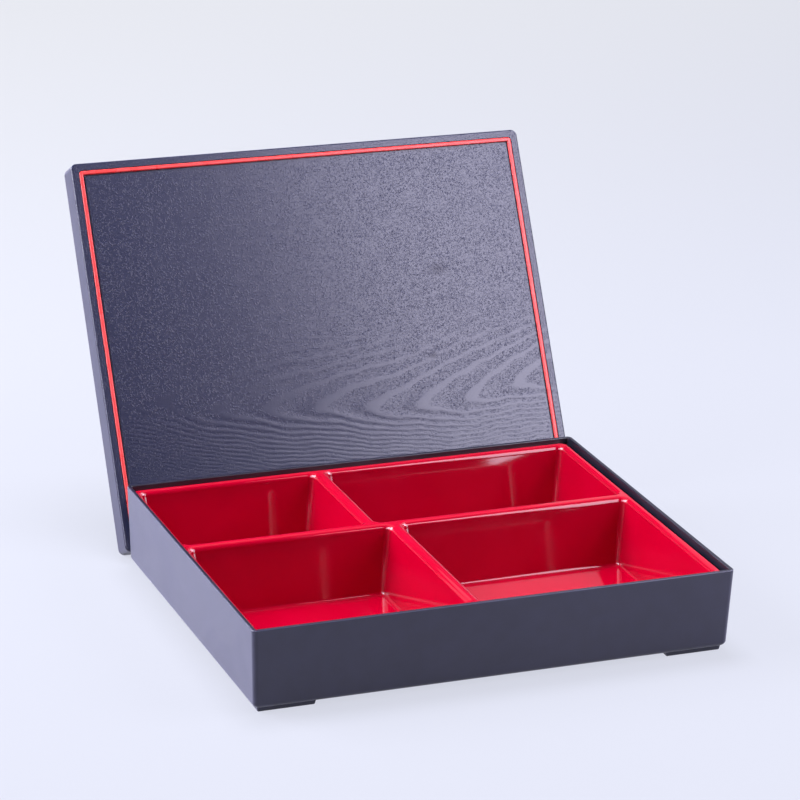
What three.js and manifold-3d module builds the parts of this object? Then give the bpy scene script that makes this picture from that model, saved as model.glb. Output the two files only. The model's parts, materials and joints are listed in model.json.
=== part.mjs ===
// A restaurant bento box: a black outer box on four moulded feet, a red one-piece tray with four wells
// dropped into it, and a black cap lid with a red line, taken off and leaning back behind the box.
// Millimetres, +Z up. X runs to the right, Y to the back. The origin is on the table, under the middle
// of the whole group.

import * as THREE from 'three';
import Module from 'manifold-3d';

// Outer box
const BOX_WIDTH = 270; // over the rim, left to right
const BOX_DEPTH = 219; // over the rim, front to back
const BOX_HEIGHT = 47; // table to rim
const BOX_WALL = 2.2;
const BOX_FLOOR = 2;
const BOX_DRAFT = 2.1; // degrees that the walls lean out
const BOX_CORNER = 2.8; // plan radius of the outer corners
const BOX_INSIDE_CORNER = 1; // plan radius of the inner corners
const BOX_BOTTOM_RADIUS = 3; // round between wall and underside
const BOX_INSIDE_FILLET = 2; // round between wall and floor, inside
const BOX_RIM_ROUND = 0.6;

// Feet, one angle-shaped pad under each corner of the box
const FOOT_HEIGHT = 2.7;
const FOOT_INSET = 4.2; // from the rim's outline to the foot's outer faces
const FOOT_LONG = 32; // along the front and back walls
const FOOT_SHORT = 22; // along the side walls
const FOOT_WIDTH = 7;
const FOOT_TAPER = 0.5; // how far each face of a foot draws in towards the table
const FOOT_ROOT = 1; // how far a foot runs up into the floor that it is moulded with

// Tray
const TRAY_CLEARANCE = 1.3; // to the box on each side, with the tray in the middle
const TRAY_SEAT_GAP = 0.3; // every gap left where the tray lies against the box
const TRAY_DROP = 2.9; // rim of the box down to the tray's top
const TRAY_WALL = 1.8;
const TRAY_CORNER = 4; // plan radius of the outer corners
const TRAY_EDGE_ROUND = 0.5;
const TRAY_LAND = 0.6; // flat border between the outer edge and the round into a well
const DIVIDER_CROWN = 1.2; // flat top of a divider
const WELL_LIP = 3.2; // round from the flat top down into a well
const WELL_SIDE_RUN = 5.6; // how far a well's side walls come in between the lip and the floor
const WELL_END_RUN = 8.1; // the same for its front and back walls
const WELL_CORNER = 3.5; // plan radius of a well's corners under the lip
const WELL_FLOOR_CORNER = 2.6; // the same at the floor
const WELL_FLOOR_FILLET = 2;
const REAR_LEFT_WELL = 102.3; // inside width under the lip; the right-hand wells take the rest
const FRONT_LEFT_WELL = 114.5;
const REAR_WELL_DEPTH = 81.1; // inside, front to back; the front wells take the rest

// Lid
const LID_CLEARANCE = 0.4; // to the box on each side when the lid is on
const LID_WALL = 2.2;
const LID_TOP = 2.4; // thickness under the sunk panel
const LID_HEIGHT = 15.5; // face to open edge
const LID_CORNER = 3.6; // plan radius of the outer corners
const LID_INSIDE_CORNER = 1.4;
const LID_EDGE_ROUND = 0.9; // round between the face and the skirt
const LID_RIM_ROUND = 0.5;
const LID_INSIDE_FILLET = 1.5;
const LID_PANEL_SINK = 0.4; // grained panel below the border
const LID_LEAN = 28.7; // degrees that the lid leans back from upright
const LID_SIDE_SHIFT = 2; // how far it stands off the middle of the box, to the right
const LID_SEAT_GAP = 0.3; // left between its lower edge and the back of the box

// Red line let into the lid's face
const LINE_INSET = 4.5; // lid's edge to the line
const LINE_WIDTH = 2.4;
const LINE_PROUD = 0.25; // crown of the line above the border
const LINE_ROUND = 0.7; // round along both of its upper edges
const LINE_CORNER = 1.9;
const LINE_INSIDE_CORNER = 0.5;
const LINE_SEAT_GAP = 0.3; // under the line and on its outer side
const LINE_SHADOW_GAP = 1; // open slot on its inner side
const GROOVE_DEPTH = 1.3;

// Finish of the facets
const CORNER_STEPS = 6;
const ROUND_STEPS = 4;

const wasm = await Module();
wasm.setup();

const radians = THREE.MathUtils.degToRad;
const BOX_SLOPE = Math.tan(radians(BOX_DRAFT));

// Points of an arc in a profile, where x is the inset from an outline and y the height
function arc(centre, radius, from, to) {
  const points = [];
  for (let step = 0; step <= ROUND_STEPS; step++) {
    const angle = radians(from + ((to - from) * step) / ROUND_STEPS);
    points.push([centre[0] + radius * Math.cos(angle), centre[1] + radius * Math.sin(angle)]);
  }
  return points;
}

// A rounded rectangle at one height, anticlockwise seen from above
function roundedRing(frame, inset, height, radius) {
  const ring = [];
  const reachX = (frame.x1 - frame.x0) / 2 - inset;
  const reachY = (frame.y1 - frame.y0) / 2 - inset;
  const middleX = (frame.x0 + frame.x1) / 2;
  const middleY = (frame.y0 + frame.y1) / 2;
  const quarters = [[1, 1], [-1, 1], [-1, -1], [1, -1]];
  quarters.forEach(([signX, signY], quarter) => {
    for (let step = 0; step <= CORNER_STEPS; step++) {
      const angle = (Math.PI / 2) * (quarter + step / CORNER_STEPS);
      ring.push(new THREE.Vector3(
        middleX + signX * (reachX - radius) + radius * Math.cos(angle),
        middleY + signY * (reachY - radius) + radius * Math.sin(angle),
        height,
      ));
    }
  });
  return ring;
}

// A skin through rings with equally many points: closed by a cap at each end, or joined end to start
function loft(rings, endless = false) {
  const count = rings[0].length;
  const index = [];
  const spans = endless ? rings.length : rings.length - 1;
  for (let row = 0; row < spans; row++) {
    const low = row * count;
    const high = ((row + 1) % rings.length) * count;
    for (let k = 0; k < count; k++) {
      const next = (k + 1) % count;
      index.push(low + k, low + next, high + next, low + k, high + next, high + k);
    }
  }
  if (!endless) {
    const last = (rings.length - 1) * count;
    for (const [a, b, c] of THREE.ShapeUtils.triangulateShape(rings[0], [])) index.push(c, b, a);
    for (const [a, b, c] of THREE.ShapeUtils.triangulateShape(rings.at(-1), [])) {
      index.push(last + a, last + b, last + c);
    }
  }
  const geometry = new THREE.BufferGeometry();
  const positions = rings.flat().flatMap((point) => point.toArray());
  geometry.setAttribute('position', new THREE.Float32BufferAttribute(positions, 3));
  geometry.setIndex(index);
  return geometry;
}

function toSolid(geometry) {
  const vertProperties = new Float32Array(geometry.attributes.position.array);
  const triVerts = new Uint32Array(geometry.index.array);
  return new wasm.Manifold(new wasm.Mesh({ numProp: 3, vertProperties, triVerts }));
}

function toGeometry(solid) {
  const mesh = solid.getMesh();
  const geometry = new THREE.BufferGeometry();
  geometry.setAttribute('position', new THREE.Float32BufferAttribute(mesh.vertProperties, 3));
  geometry.setIndex(Array.from(mesh.triVerts));
  return geometry;
}

function piece(name, geometry, material) {
  geometry.computeVertexNormals();
  const mesh = new THREE.Mesh(geometry, material);
  mesh.name = name;
  return mesh;
}

const blackSatin = new THREE.MeshStandardMaterial({ color: 0x24242c, roughness: 0.45, metalness: 0 });
const blackGrain = new THREE.MeshStandardMaterial({ color: 0x26262e, roughness: 0.5, metalness: 0 });
const redGloss = new THREE.MeshStandardMaterial({ color: 0xc0001c, roughness: 0.12, metalness: 0 });
const redLine = new THREE.MeshStandardMaterial({ color: 0xe0302c, roughness: 0.35, metalness: 0 });

// Outer box: one profile carried round the rim's outline, from the underside up, over the rim and down
// to the inside floor

const boxFrame = { x0: -BOX_WIDTH / 2, x1: BOX_WIDTH / 2, y0: -BOX_DEPTH / 2, y1: BOX_DEPTH / 2 };
const boxFloorTop = FOOT_HEIGHT + BOX_FLOOR;

const boxOutside = (height) => (BOX_HEIGHT - height) * BOX_SLOPE;
const boxInside = (height) => BOX_WALL + boxOutside(height);

function boxShell() {
  const bottomCentre = FOOT_HEIGHT + BOX_BOTTOM_RADIUS;
  const rimCentre = BOX_HEIGHT - BOX_RIM_ROUND;
  const filletCentre = boxFloorTop + BOX_INSIDE_FILLET;
  const outside = [
    ...arc([boxOutside(bottomCentre) + BOX_BOTTOM_RADIUS, bottomCentre], BOX_BOTTOM_RADIUS, 270, 180),
    ...arc([boxOutside(rimCentre) + BOX_RIM_ROUND, rimCentre], BOX_RIM_ROUND, 180, 90),
  ];
  const inside = [
    ...arc([boxInside(rimCentre) - BOX_RIM_ROUND, rimCentre], BOX_RIM_ROUND, 90, 0),
    ...arc([boxInside(filletCentre) + BOX_INSIDE_FILLET, filletCentre], BOX_INSIDE_FILLET, 180, 270),
  ];
  return loft([
    ...outside.map(([inset, height]) => roundedRing(boxFrame, inset, height, BOX_CORNER)),
    ...inside.map(([inset, height]) => roundedRing(boxFrame, inset, height, BOX_INSIDE_CORNER)),
  ]);
}

// An angle-shaped foot with drafted faces, for the corner whose signs are given
function foot(signX, signY) {
  const level = (height, draw) => {
    const outerX = BOX_WIDTH / 2 - FOOT_INSET - draw;
    const outerY = BOX_DEPTH / 2 - FOOT_INSET - draw;
    const endX = BOX_WIDTH / 2 - FOOT_INSET - FOOT_LONG + draw;
    const endY = BOX_DEPTH / 2 - FOOT_INSET - FOOT_SHORT + draw;
    const innerX = BOX_WIDTH / 2 - FOOT_INSET - FOOT_WIDTH + draw;
    const innerY = BOX_DEPTH / 2 - FOOT_INSET - FOOT_WIDTH + draw;
    const angle = [
      [outerX, outerY], [endX, outerY], [endX, innerY], [innerX, innerY], [innerX, endY], [outerX, endY],
    ];
    const ring = angle.map(([x, y]) => new THREE.Vector3(signX * x, signY * y, height));
    return signX * signY > 0 ? ring : ring.reverse();
  };
  return loft([level(0, FOOT_TAPER), level(FOOT_HEIGHT, 0), level(FOOT_HEIGHT + FOOT_ROOT, 0)]);
}

function outerBox() {
  let solid = toSolid(boxShell());
  for (const signX of [-1, 1]) {
    for (const signY of [-1, 1]) solid = solid.add(toSolid(foot(signX, signY)));
  }
  return piece('outer_box', toGeometry(solid), blackSatin);
}

// Tray: a flat top with four drafted wells hung from it, so that the dividers are hollow underneath

const trayTop = BOX_HEIGHT - TRAY_DROP;
const trayInset = boxInside(trayTop - TRAY_WALL) + TRAY_CLEARANCE;
const wellFloor = boxFloorTop + TRAY_SEAT_GAP + TRAY_WALL;
const lipFoot = trayTop - WELL_LIP; // where a well's wall meets its lip

const trayFrame = {
  x0: boxFrame.x0 + trayInset,
  x1: boxFrame.x1 - trayInset,
  y0: boxFrame.y0 + trayInset,
  y1: boxFrame.y1 - trayInset,
};

// Outlines of the wells under the lip
function wellFrames() {
  const border = TRAY_LAND + WELL_LIP;
  const divider = DIVIDER_CROWN + 2 * WELL_LIP;
  const left = trayFrame.x0 + border;
  const right = trayFrame.x1 - border;
  const front = trayFrame.y0 + border;
  const back = trayFrame.y1 - border;
  const crossBack = back - REAR_WELL_DEPTH;
  const crossFront = crossBack - divider;
  return [
    { x0: left, x1: left + REAR_LEFT_WELL, y0: crossBack, y1: back },
    { x0: left + REAR_LEFT_WELL + divider, x1: right, y0: crossBack, y1: back },
    { x0: left, x1: left + FRONT_LEFT_WELL, y0: front, y1: crossFront },
    { x0: left + FRONT_LEFT_WELL + divider, x1: right, y0: front, y1: crossFront },
  ];
}

// A well's outline at one height, drawn in evenly from the lip to the floor and then moved in by inset
function wellRing(frame, inset, height) {
  const share = Math.max(0, (lipFoot - height) / (lipFoot - wellFloor));
  const level = {
    x0: frame.x0 + WELL_SIDE_RUN * share,
    x1: frame.x1 - WELL_SIDE_RUN * share,
    y0: frame.y0 + WELL_END_RUN * share,
    y1: frame.y1 - WELL_END_RUN * share,
  };
  const corner = THREE.MathUtils.lerp(WELL_CORNER, WELL_FLOOR_CORNER, share);
  return roundedRing(level, inset, height, corner - Math.min(inset, 0));
}

// The hollow of a well, run on above the tray's top so that it cuts clean
function wellHollow(frame) {
  const overrun = WELL_LIP;
  const profile = [
    ...arc([WELL_FLOOR_FILLET, wellFloor + WELL_FLOOR_FILLET], WELL_FLOOR_FILLET, 270, 180),
    ...arc([-WELL_LIP, lipFoot], WELL_LIP, 0, 90),
    [-WELL_LIP, trayTop + overrun],
  ];
  return loft(profile.map(([inset, height]) => wellRing(frame, inset, height)));
}

// The outside of a well, one wall thickness out from its hollow and run up into the flat top
function wellBody(frame) {
  const head = trayTop - TRAY_WALL / 2;
  const filletCentre = [WELL_FLOOR_FILLET, wellFloor + WELL_FLOOR_FILLET];
  const profile = [
    ...arc(filletCentre, WELL_FLOOR_FILLET + TRAY_WALL, 270, 180),
    [-TRAY_WALL, head],
  ];
  return loft(profile.map(([inset, height]) => wellRing(frame, inset, height)));
}

function trayPlate() {
  const edgeCentre = trayTop - TRAY_EDGE_ROUND;
  const profile = [[0, trayTop - TRAY_WALL], ...arc([TRAY_EDGE_ROUND, edgeCentre], TRAY_EDGE_ROUND, 180, 90)];
  return loft(profile.map(([inset, height]) => roundedRing(trayFrame, inset, height, TRAY_CORNER - inset)));
}

// The tray is pushed to the left and to the back, as far as its clearance lets it go
function foodTray() {
  const wells = wellFrames();
  let solid = toSolid(trayPlate());
  for (const well of wells) solid = solid.add(toSolid(wellBody(well)));
  for (const well of wells) solid = solid.subtract(toSolid(wellHollow(well)));
  const tray = piece('food_tray', toGeometry(solid), redGloss);
  const push = TRAY_CLEARANCE - TRAY_SEAT_GAP;
  tray.position.set(-push, push, 0);
  return tray;
}

// Lid, drawn lying flat with its face up at height 0 and its skirt below

const lidReach = LID_CLEARANCE + LID_WALL;
const lidFrame = {
  x0: boxFrame.x0 - lidReach,
  x1: boxFrame.x1 + lidReach,
  y0: boxFrame.y0 - lidReach,
  y1: boxFrame.y1 + lidReach,
};
const grooveOuter = LINE_INSET - LINE_SEAT_GAP;
const grooveInner = LINE_INSET + LINE_WIDTH + LINE_SHADOW_GAP;

// One profile from the ceiling down inside the skirt, round its rim, up outside and across the face
function lidShell() {
  const ceiling = -(LID_PANEL_SINK + LID_TOP);
  const rimCentre = -LID_HEIGHT + LID_RIM_ROUND;
  const filletHeight = ceiling - LID_INSIDE_FILLET;
  const inside = [
    ...arc([LID_WALL + LID_INSIDE_FILLET, filletHeight], LID_INSIDE_FILLET, 90, 180),
    ...arc([LID_WALL - LID_RIM_ROUND, rimCentre], LID_RIM_ROUND, 360, 270),
  ];
  const outside = [
    ...arc([LID_RIM_ROUND, rimCentre], LID_RIM_ROUND, 270, 180),
    ...arc([LID_EDGE_ROUND, -LID_EDGE_ROUND], LID_EDGE_ROUND, 180, 90),
  ];
  const grooveOuterWall = [[grooveOuter, 0], [grooveOuter, -GROOVE_DEPTH]];
  const grooveInnerWall = [[grooveInner, -GROOVE_DEPTH], [grooveInner, -LID_PANEL_SINK]];
  const rings = (profile, radius) => (
    profile.map(([inset, height]) => roundedRing(lidFrame, inset, height, radius))
  );
  return loft([
    ...rings(inside, LID_INSIDE_CORNER),
    ...rings(outside, LID_CORNER),
    ...rings(grooveOuterWall, LINE_CORNER + LINE_SEAT_GAP),
    ...rings(grooveInnerWall, LINE_INSIDE_CORNER),
  ]);
}

// The red line: a strip with a rounded top, carried once round the groove
function lineStrip() {
  const foot = -GROOVE_DEPTH + LINE_SEAT_GAP;
  const shoulder = LINE_PROUD - LINE_ROUND;
  const outer = LINE_INSET;
  const inner = LINE_INSET + LINE_WIDTH;
  const outerSide = [[outer, foot], ...arc([outer + LINE_ROUND, shoulder], LINE_ROUND, 180, 90)];
  const innerSide = [...arc([inner - LINE_ROUND, shoulder], LINE_ROUND, 90, 0), [inner, foot]];
  return loft([
    ...outerSide.map(([inset, height]) => roundedRing(lidFrame, inset, height, LINE_CORNER)),
    ...innerSide.map(([inset, height]) => roundedRing(lidFrame, inset, height, LINE_INSIDE_CORNER)),
  ], true);
}

// Stands the leaning lid on the table with its lower edge just behind the box's back wall
function leaningLid() {
  const lid = new THREE.Group();
  const shell = piece('lid', lidShell(), blackGrain);
  lid.add(shell, piece('lid_red_line', lineStrip(), redLine));
  lid.rotation.x = radians(90 - LID_LEAN);
  lid.updateMatrixWorld(true);
  lid.position.z = -new THREE.Box3().setFromObject(shell, true).min.z;
  lid.updateMatrixWorld(true);
  const corner = new THREE.Vector3();
  const vertices = shell.geometry.attributes.position;
  let nearest = Infinity;
  for (let k = 0; k < vertices.count; k++) {
    corner.fromBufferAttribute(vertices, k).applyMatrix4(shell.matrixWorld);
    nearest = Math.min(nearest, corner.y - (boxFrame.y1 - boxOutside(corner.z)));
  }
  lid.position.y = LID_SEAT_GAP / Math.cos(radians(BOX_DRAFT)) - nearest;
  lid.position.x = LID_SIDE_SHIFT;
  return lid;
}

const bentoBox = new THREE.Group();
bentoBox.add(outerBox(), foodTray(), leaningLid());
const middle = new THREE.Box3().setFromObject(bentoBox, true).getCenter(new THREE.Vector3());
bentoBox.position.set(-middle.x, -middle.y, 0);

export default bentoBox;
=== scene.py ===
# %% [markdown]
# # A bento box with a red tray
#
# The object is a restaurant bento box. A satin black box stands on four corner feet, a glossy red tray
# with four wells lies in it, and a black lid with a wood-grained face and a red line leans back behind it.
# Each of these is one injection moulding. The CAD solids already have the right sizes, but their rounds
# are cut into a few flat strips, and gloss would show every strip. So each moulding is drawn again here in
# mesh code, at the same size and place, with finer rounds, and stands in for its solid.

# %% Load the frame
import json
import math

import bmesh
import bpy
from mathutils import Matrix, Vector


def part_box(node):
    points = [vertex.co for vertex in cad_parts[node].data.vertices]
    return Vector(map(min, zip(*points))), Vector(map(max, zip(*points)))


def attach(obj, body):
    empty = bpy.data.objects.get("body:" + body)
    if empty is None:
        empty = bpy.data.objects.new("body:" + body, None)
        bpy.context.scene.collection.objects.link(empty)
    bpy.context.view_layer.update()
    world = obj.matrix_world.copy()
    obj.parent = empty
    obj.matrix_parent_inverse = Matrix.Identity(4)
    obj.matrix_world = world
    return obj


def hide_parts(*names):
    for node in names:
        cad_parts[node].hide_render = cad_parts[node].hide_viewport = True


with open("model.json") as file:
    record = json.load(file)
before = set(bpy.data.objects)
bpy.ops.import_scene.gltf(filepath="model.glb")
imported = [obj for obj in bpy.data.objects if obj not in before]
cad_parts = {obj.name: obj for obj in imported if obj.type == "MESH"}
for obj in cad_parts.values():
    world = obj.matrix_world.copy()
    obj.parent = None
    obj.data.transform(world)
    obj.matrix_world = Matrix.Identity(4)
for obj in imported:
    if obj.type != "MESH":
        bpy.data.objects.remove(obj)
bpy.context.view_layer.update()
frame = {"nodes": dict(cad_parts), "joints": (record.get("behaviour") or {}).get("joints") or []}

# %% [markdown]
# ## Where things are
#
# The frame is in metres, with X to the right, Y to the back and Z up. Places come from the CAD solids:
# the box and the tray are read from their corners. The lid leans, so it is measured along its own
# directions instead. Its slide joint runs up along its face, which gives the lean without another number.

# %% Measure the frame
MM = 0.001
RIGHT = Vector((1, 0, 0))

box_low, box_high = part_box("outer_box")
tray_low, tray_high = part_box("food_tray")


def span(node, direction):
    """Lowest and highest reach of a CAD node along a direction."""
    reach = [direction.dot(vertex.co) for vertex in frame["nodes"][node].data.vertices]
    return min(reach), max(reach)


lid_slide = next(joint for joint in frame["joints"] if joint["name"] == "lid_lift")
lid_up = Vector(lid_slide["axis"]).normalized()
lid_out = RIGHT.cross(lid_up)
lid_left, lid_right = span("lid", RIGHT)
lid_bottom, lid_top = span("lid", lid_up)
lid_back, lid_face = span("lid", lid_out)
lid_width = lid_right - lid_left
lid_length = lid_top - lid_bottom
print(f"lid {lid_width / MM:.1f} x {lid_length / MM:.1f} x {(lid_face - lid_back) / MM:.1f} mm")

# %% [markdown]
# ## Camera
#
# The photograph was taken with a long lens from the front left, a little above the box. A camera fitted to
# the corners of the box and the lid gives the direction, the distance and a small roll. The lens is set for
# Blender's usual 36 mm sensor and a square picture.

# %% Camera
VIEW_AZIMUTH = math.radians(-21.472)
VIEW_ELEVATION = math.radians(19.303)
VIEW_ROLL = math.radians(1.383)
VIEW_DISTANCE = 2.22194
VIEW_LENS = 162.2
LOOK_AT = Vector((0.083565, 0.196522, 0.025))

towards_viewer = Vector((
    math.sin(VIEW_AZIMUTH) * math.cos(VIEW_ELEVATION),
    -math.cos(VIEW_AZIMUTH) * math.cos(VIEW_ELEVATION),
    math.sin(VIEW_ELEVATION),
))
camera_data = bpy.data.cameras.new("camera")
camera_data.lens = VIEW_LENS
camera = bpy.data.objects.new("camera", camera_data)
bpy.context.scene.collection.objects.link(camera)
aim = (-towards_viewer).to_track_quat("-Z", "Y").to_matrix().to_4x4()
stand = Matrix.Translation(LOOK_AT + towards_viewer * VIEW_DISTANCE)
camera.matrix_world = stand @ aim @ Matrix.Rotation(VIEW_ROLL, 4, "Z")
bpy.context.scene.camera = camera
print("camera at", [round(value, 3) for value in camera.matrix_world.translation])

# %% [markdown]
# ## Light
#
# Gloss shows what stands around it, so the light is set up in two parts, as a product photographer does it.
# Three softboxes give the light itself: a key low on the right, which leaves the right end of each well in
# shadow, a larger fill on the left, and a soft one overhead for the floors of the wells. Upright white
# cards are there for the reflections alone. The one at the front right puts the streaks on the lips of the
# wells and brightens the right of the lid. The ones on the left and right show in the flecks of the grain
# and in the corners of the wells. Three more make the white glints at the top of these corners. From the side
# they would turn the black lid white, so light linking lets them light the tray alone.

# %% Softboxes
PALE_BLUE = (0.88, 0.88, 1.0)
LIGHT_AIM = Vector((0.0, 0.0, 0.06))


def add_lamp(name, place, facing, size, watts, colour=PALE_BLUE, in_gloss=True, in_colour=True):
    """A rectangular lamp that faces a point. It can be left out of reflections, or show in them alone."""
    data = bpy.data.lights.new(name, "AREA")
    data.shape = "RECTANGLE"
    data.size, data.size_y = size
    data.energy = watts
    data.color = colour
    lamp = bpy.data.objects.new(name, data)
    lamp.location = place
    lamp.rotation_euler = (place - facing).to_track_quat("Z", "Y").to_euler()
    lamp.visible_camera = False
    lamp.visible_glossy = in_gloss
    lamp.visible_diffuse = in_colour
    bpy.context.scene.collection.objects.link(lamp)
    print(f"{name}: {size[0]} x {size[1]} m, {watts} W")
    return lamp


add_lamp("key", Vector((0.79, -0.42, 0.62)), LIGHT_AIM, (0.60, 0.65), 13.0, in_gloss=False)
add_lamp("fill", Vector((-1.04, 0.43, 0.71)), LIGHT_AIM, (1.2, 0.8), 54.0)
add_lamp("overhead", Vector((0.05, 0.24, 1.26)), LIGHT_AIM, (0.5, 0.5), 31.0, in_gloss=False)

# %% Cards
PALE_LILAC = (0.85, 0.815, 1.0)


def add_card(name, x, y, foot, size, watts):
    """An upright white card that faces the box, for the reflections only."""
    middle = Vector((x, y, foot + size[1] / 2))
    return add_lamp(name, middle, Vector((0, 0, middle.z)), size, watts, PALE_LILAC, in_colour=False)


def add_glint(name, place, size, watts):
    """A small white card higher up, tilted down at the box, for the reflections only."""
    return add_lamp(name, place, LIGHT_AIM, size, watts, PALE_LILAC, in_colour=False)


add_card("front_right_card", 0.59, -0.74, 0.0, (0.39, 1.36), 15.2)
add_card("left_card", -0.73, -0.61, 0.35, (0.89, 0.85), 20.0)
add_card("right_card", 0.95, -0.08, 0.65, (1.33, 0.85), 28.0)

# %% Cards for the tray alone
tray_only = bpy.data.collections.new("tray_only")
tray_cards = [
    add_card("tray_card", 0.94, -0.30, 0.40, (0.90, 0.25), 5.0),
    add_glint("right_glint", Vector((0.90, -0.16, 0.66)), (0.32, 0.32), 9.0),
    add_glint("left_glint", Vector((-0.78, -0.17, 0.86)), (0.50, 0.50), 13.0),
]
for card in tray_cards:
    card.light_linking.receiver_collection = tray_only
print(len(tray_cards), "cards light the tray alone")

# %% [markdown]
# ## Node helpers
#
# Materials below are small networks of nodes. They could be clicked together by hand, but in code four small
# helpers keep them readable. One adds a node, sets it and joins its inputs. The others do one step of
# arithmetic, map a value from one range to another, and blend two colours.

# %% Node helpers


def add_node(tree, kind, inputs=None, **settings):
    """Adds a node. An input given as a socket is linked, any other value is set."""
    node = tree.nodes.new(kind)
    for name, value in settings.items():
        setattr(node, name, value)
    for name, value in (inputs or {}).items():
        if isinstance(value, bpy.types.NodeSocket):
            tree.links.new(value, node.inputs[name])
        else:
            node.inputs[name].default_value = value
    return node


def calc(tree, operation, *terms):
    """One step of arithmetic on sockets and numbers."""
    inputs = dict(enumerate(terms))
    return add_node(tree, "ShaderNodeMath", inputs, operation=operation).outputs[0]


def stretch(tree, value, low, high, new_low, new_high):
    """Maps a value smoothly from one range to another."""
    inputs = {"Value": value, "From Min": low, "From Max": high, "To Min": new_low, "To Max": new_high}
    node = add_node(tree, "ShaderNodeMapRange", inputs, interpolation_type="SMOOTHSTEP")
    return node.outputs["Result"]


def blend_colours(tree, factor, first, second):
    """A colour between two, by a factor from the surface."""
    node = add_node(tree, "ShaderNodeMix", data_type="RGBA")
    tree.links.new(factor, node.inputs["Factor"])
    ends = [socket for socket in node.inputs if socket.type == "RGBA"]
    for socket, colour in zip(ends, (first, second)):
        socket.default_value = (*colour, 1)
    return next(socket for socket in node.outputs if socket.type == "RGBA")


print("node helpers ready")

# %% [markdown]
# ## Room and floor
#
# The room is a plain dome of light: pale and slightly blue, and dark towards the side that the camera stands
# on, which keeps the red of the wells deep. The floor is a large disc of pale paper, far larger than the
# view, so that its edge never shows. In the photograph the paper is lit by itself until it is nearly white.
# Here a light path does that: to the camera, and in reflections, the paper is mostly a pale glow,
# a painted light that grows brighter towards the back left where the fill lamp stands. Some of its lit
# surface is mixed in, which keeps the soft shadow.

# %% Room
ROOM_PALE = (0.55, 0.57, 0.66)
ROOM_DARK = (0.012, 0.012, 0.016)
DARK_SIDE = Vector((0.22, -0.93, 0.20)).normalized()
DARK_FROM, DARK_TO = -0.4, 0.55

room = bpy.data.worlds.new("room")
room.use_nodes = True
bpy.context.scene.world = room
tree = room.node_tree
direction = add_node(tree, "ShaderNodeTexCoord").outputs["Generated"]
turned = add_node(tree, "ShaderNodeVectorMath", {0: direction, 1: DARK_SIDE}, operation="DOT_PRODUCT")
darkness = stretch(tree, turned.outputs["Value"], DARK_FROM, DARK_TO, 0.0, 1.0)
shade = blend_colours(tree, darkness, ROOM_PALE, ROOM_DARK)
tree.links.new(shade, tree.nodes["Background"].inputs["Color"])
print("room", room.name, "is dark towards", [round(value, 2) for value in DARK_SIDE])

# %% Floor
FLOOR_RADIUS = 14.0
FLOOR_SIDES = 96

floor_mesh = bpy.data.meshes.new("floor")
build = bmesh.new()
bmesh.ops.create_circle(build, cap_ends=True, segments=FLOOR_SIDES, radius=FLOOR_RADIUS)
build.to_mesh(floor_mesh)
build.free()
floor = bpy.data.objects.new("floor", floor_mesh)
bpy.context.scene.collection.objects.link(floor)
print("floor of radius", FLOOR_RADIUS, "m")

# %% Pale paper
PAPER_COLOUR = (0.29, 0.30, 0.33)
PAPER_ROUGHNESS = 0.9
PAPER_SHINE = 0.1

paper = bpy.data.materials.new("pale_paper")
paper.use_nodes = True
tree = paper.node_tree
shader = tree.nodes["Principled BSDF"]
shader.inputs["Base Color"].default_value = (*PAPER_COLOUR, 1)
shader.inputs["Roughness"].default_value = PAPER_ROUGHNESS
shader.inputs["Specular IOR Level"].default_value = PAPER_SHINE
floor.data.materials.append(paper)
print("material", paper.name)

# %% Glow of the paper
GLOW_NEAR = (0.78, 0.80, 0.91)
GLOW_FAR = (0.93, 0.945, 1.0)
FAR_SIDE = Vector((-0.35, 0.94, 0.0))
FAR_FROM, FAR_TO = 0.0, 1.4
GLOW_SHARE = 0.8

path = add_node(tree, "ShaderNodeLightPath")
seen = calc(tree, "MAXIMUM", path.outputs["Is Camera Ray"], path.outputs["Is Glossy Ray"])
seen = calc(tree, "MAXIMUM", seen, path.outputs["Is Transmission Ray"])
# painted light: the glow grows brighter towards the back left, where the fill lamp lights the paper
spot = add_node(tree, "ShaderNodeTexCoord").outputs["Object"]
away = add_node(tree, "ShaderNodeVectorMath", {0: spot, 1: FAR_SIDE}, operation="DOT_PRODUCT")
distance = stretch(tree, away.outputs["Value"], FAR_FROM, FAR_TO, 0.0, 1.0)
pale = blend_colours(tree, distance, GLOW_NEAR, GLOW_FAR)
glow = add_node(tree, "ShaderNodeEmission", {"Color": pale, "Strength": 1.0})
share = calc(tree, "MULTIPLY", seen, GLOW_SHARE)
halves = {0: share, 1: shader.outputs["BSDF"], 2: glow.outputs["Emission"]}
surface = add_node(tree, "ShaderNodeMixShader", halves)
tree.links.new(surface.outputs["Shader"], tree.nodes["Material Output"].inputs["Surface"])
print("paper glows by", GLOW_SHARE)

# %% [markdown]
# ## Two effects that the mouldings share
#
# The steel mould of a satin part is etched, and leaves a fine, even texture in the plastic. Every part
# that has been handled also has a faint haze of wiped marks, which shows only as small changes in shine.
# Both could be drawn again in each material. As node groups they are built once, and each material below
# sets its own size for them.

# %% Etched skin group
SPECK_LOW, SPECK_HIGH = 0.3, 0.7
PATCHES_PER_PIT = 0.06


def start_group(name, inputs, outputs):
    """An empty shader group with float sockets of the given names."""
    group = bpy.data.node_groups.new(name, "ShaderNodeTree")
    for label, value in inputs.items():
        socket = group.interface.new_socket(label, in_out="INPUT", socket_type="NodeSocketFloat")
        socket.default_value = value
    for label in outputs:
        group.interface.new_socket(label, in_out="OUTPUT", socket_type="NodeSocketFloat")
    return group, group.nodes.new("NodeGroupInput"), group.nodes.new("NodeGroupOutput")


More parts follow.
